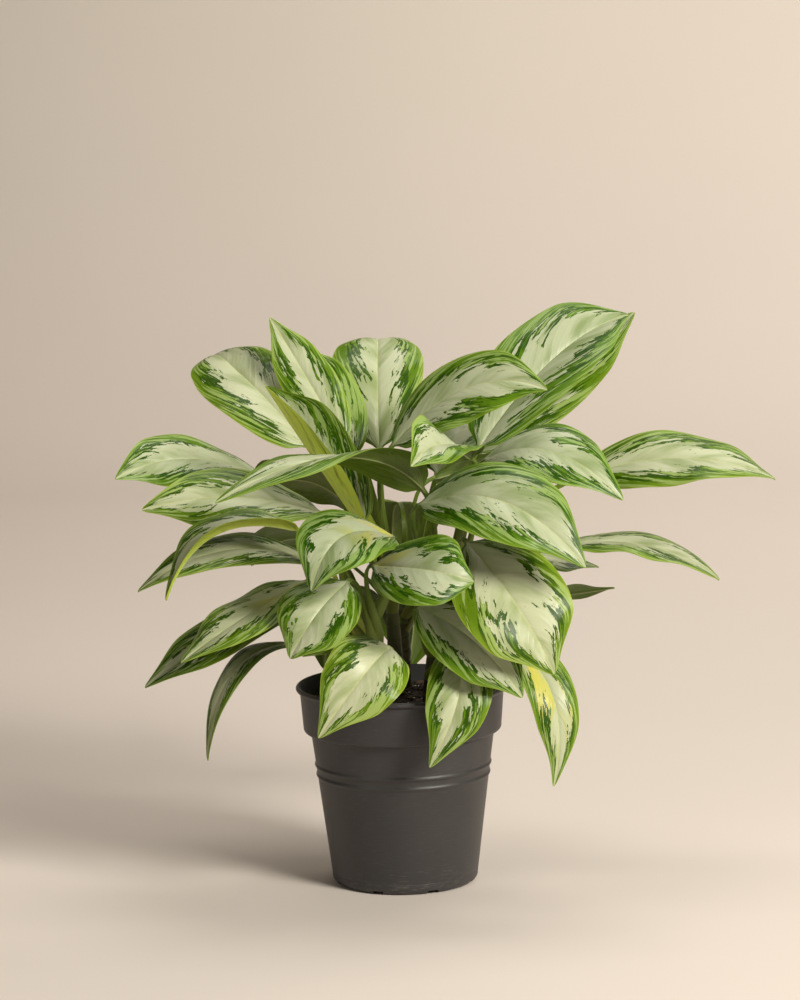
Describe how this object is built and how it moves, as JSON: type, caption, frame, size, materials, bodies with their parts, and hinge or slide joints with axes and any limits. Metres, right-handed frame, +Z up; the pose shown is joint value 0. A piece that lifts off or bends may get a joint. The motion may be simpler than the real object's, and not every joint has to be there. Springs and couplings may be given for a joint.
{
  "type": "potted chinese evergreen",
  "caption": "Bushy house plant with broad silver and green leaves on upright canes, growing in a round tapered nursery pot filled with soil.",
  "frame": {"origin": "centre of the pot's flat underside", "axes": "+Z up; -Y towards the plant's front, where its low leaves hang over the rim; +X along its longest leaf"},
  "size_m": [0.648, 0.4335, 0.5614],
  "materials": {
    "pot_plastic": "satin charcoal, moulded",
    "soil": "dark moist peat mix with bark and perlite",
    "cane": "green-brown stem with leaf scars",
    "leaf": "waxy, silver centre with green margins",
    "shoot": "waxy, pale yellow-green"
  },
  "bodies": {
    "root": {"nursery_pot": "pot_plastic", "potting_soil": "soil", "cane_left": "cane", "cane_middle": "cane", "cane_right": "cane", "cane_front_left": "cane", "cane_front_right": "cane", "cane_back": "cane", "leaf_01_crown_left": "leaf", "leaf_02_upper_left": "leaf", "leaf_03_left": "leaf", "leaf_04_left_arching": "leaf", "leaf_05_left_low": "leaf", "leaf_06_left_low_front": "leaf", "leaf_07_left_lower": "leaf", "leaf_08_left_hanging": "leaf", "leaf_09_crown_spire": "leaf", "leaf_10_crown_behind": "leaf", "leaf_11_crown_back": "leaf", "leaf_12_young_rolled": "leaf", "leaf_13_crown_right": "leaf", "leaf_14_front_sweeping": "leaf", "leaf_15_tall_right": "leaf", "leaf_16_tall_right_back": "leaf", "leaf_17_right_drooping": "leaf", "leaf_18_curled": "leaf", "leaf_19_far_right": "leaf", "leaf_20_right": "leaf", "leaf_21_right_behind": "leaf", "leaf_22_right_low_tip": "leaf", "leaf_23_front_broad": "leaf", "leaf_24_front_large": "leaf", "leaf_25_front_middle": "leaf", "leaf_26_front_low": "leaf", "leaf_27_right_hanging": "leaf", "leaf_28_front_hanging": "leaf", "leaf_29_front_upper_left": "leaf", "leaf_30_front_left": "leaf", "leaf_31_front_left_behind": "leaf", "leaf_32_front_left_hanging": "leaf", "leaf_33_back_upper_left": "leaf", "leaf_34_back_upper_right": "leaf", "leaf_35_back_core": "leaf", "leaf_36_back_left": "leaf", "leaf_37_back_right": "leaf", "leaf_38_back_low_left": "leaf", "leaf_39_back_low_right": "leaf", "leaf_40_inner_right": "leaf", "shoot_middle": "shoot", "shoot_right": "shoot"}
  },
  "joints": []
}
